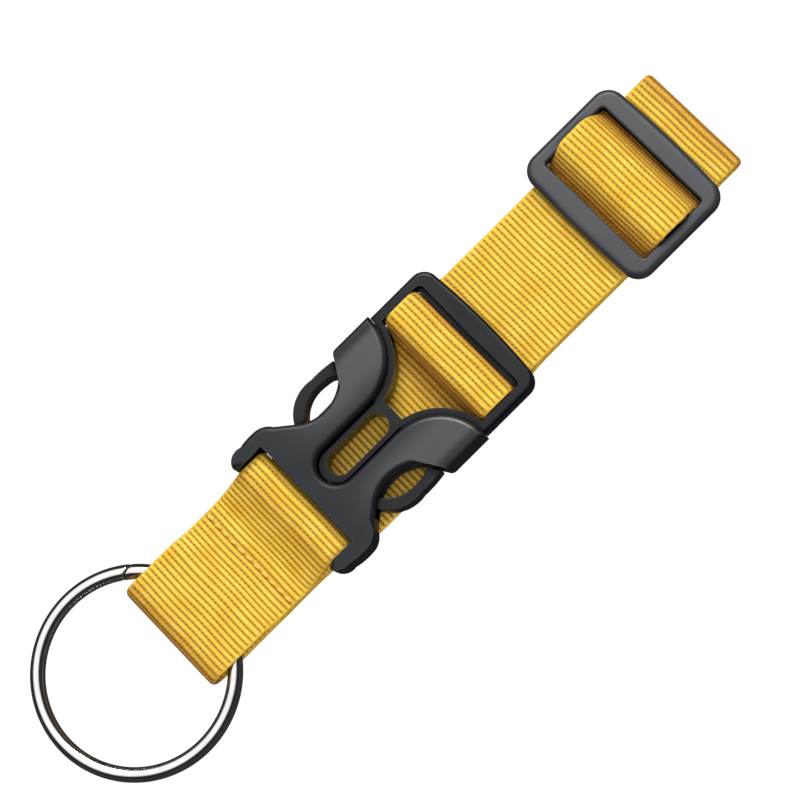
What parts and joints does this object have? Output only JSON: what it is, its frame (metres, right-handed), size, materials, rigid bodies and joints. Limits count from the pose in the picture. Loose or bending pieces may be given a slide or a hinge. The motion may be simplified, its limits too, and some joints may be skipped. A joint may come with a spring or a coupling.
{
  "type": "webbing key strap",
  "caption": "Flat folded webbing key strap with a round split wire ring, a side-release buckle and a three-bar slider, its long end folded back into a band.",
  "frame": {"origin": "centre of the bounding box's bottom face: under the middle of the strap, on the plane the flat back ply lies on", "axes": "+Y along the strap from the ring to the folded end, +X across the webbing, +Z out of the front (buckle) face"},
  "size_m": [0.0418, 0.172, 0.0099],
  "materials": {
    "webbing": "ribbed woven nylon tape, golden yellow",
    "thread": "bonded polyester thread",
    "ring_metal": "bright nickel plate",
    "buckle_plastic": "satin moulded acetal",
    "slider_plastic": "satin moulded acetal, a little lighter"
  },
  "bodies": {
    "lower": {"female_buckle_body": "buckle_plastic", "strap_lower_anchor": "webbing", "strap_back_lower": "webbing", "strap_back_slack": "webbing", "strap_neck_front": "webbing", "strap_neck_back": "webbing", "anchor_stitches": "thread"},
    "ring_loop": {"strap_ring_loop": "webbing"},
    "ring": {"key_ring": "ring_metal"},
    "male": {"male_buckle_frame": "buckle_plastic", "strap_male_wrap": "webbing", "strap_mid_front": "webbing", "strap_mid_second": "webbing", "strap_back_upper": "webbing"},
    "arm_left": {"male_arm_left": "buckle_plastic"},
    "arm_right": {"male_arm_right": "buckle_plastic"},
    "triglide": {"triglide_frame": "slider_plastic", "strap_triglide_anchor": "webbing", "strap_triglide_wrap": "webbing"},
    "top_loop": {"strap_top_loop": "webbing"}
  },
  "joints": [
    {"name": "buckle_release", "type": "slide", "parent": "lower", "child": "male", "axis": [0, 1, 0], "range_m": [0, 0.026], "deforming": ["male_arm_left", "male_arm_right", "strap_back_slack"]},
    {"name": "arm_left_pinch", "type": "hinge", "parent": "male", "child": "arm_left", "pos_m": [-0.0119, 0.0124, 0.0057], "axis": [0, 0, 1], "range_deg": [0, 9]},
    {"name": "arm_right_pinch", "type": "hinge", "parent": "male", "child": "arm_right", "pos_m": [0.0119, 0.0124, 0.0057], "axis": [0, 0, 1], "range_deg": [-9, 0]},
    {"name": "slider_adjust", "type": "slide", "parent": "male", "child": "triglide", "axis": [0, 1, 0], "range_m": [-0.016, 0], "deforming": ["strap_mid_front", "strap_mid_second"]},
    {"name": "band_length", "type": "slide", "parent": "male", "child": "top_loop", "axis": [0, 1, 0], "range_m": [0, 0.008]},
    {"name": "ring_loop_flex", "type": "hinge", "parent": "lower", "child": "ring_loop", "pos_m": [0, -0.04095, 0.0022], "axis": [1, 0, 0], "range_deg": [-60, 60], "deforming": ["strap_neck_front", "strap_neck_back"]},
    {"name": "ring_spin", "type": "hinge", "parent": "ring_loop", "child": "ring", "pos_m": [0, -0.0651, 0.00287], "axis": [0, 0, 1], "continuous": true}
  ],
  "couplings": [
    {"joint": "arm_right_pinch", "follows": "arm_left_pinch", "ratio": -1},
    {"joint": "band_length", "follows": "slider_adjust", "ratio": -0.5}
  ]
}
